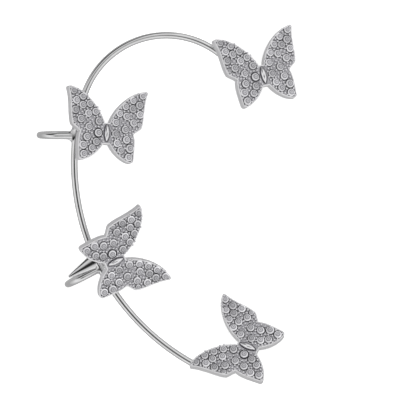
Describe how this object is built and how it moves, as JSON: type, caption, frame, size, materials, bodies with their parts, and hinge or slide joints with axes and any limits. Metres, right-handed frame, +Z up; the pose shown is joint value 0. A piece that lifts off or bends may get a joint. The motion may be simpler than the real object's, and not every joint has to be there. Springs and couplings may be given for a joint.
{
  "type": "ear cuff",
  "caption": "Ear cuff: a curved silver-coloured wire with two hooks that grip the rim of the ear, carrying butterflies paved with round cut stones.",
  "frame": {"origin": "middle of the cuff's box in X and Y, on the surface that the cuff lies on", "axes": "+Z up, away from the wearer's head; +Y towards the top of the ear; -X towards the hooks that go behind the ear"},
  "size_m": [0.0434, 0.0602, 0.0129],
  "materials": {
    "silver": "polished silver-coloured metal",
    "pave_silver": "polished silver-coloured metal paved with clear round cut stones"
  },
  "bodies": {
    "root": {"ear_wire": "silver", "butterfly_top": "pave_silver", "butterfly_upper": "pave_silver", "butterfly_lower": "pave_silver", "butterfly_bottom": "pave_silver"}
  },
  "joints": []
}
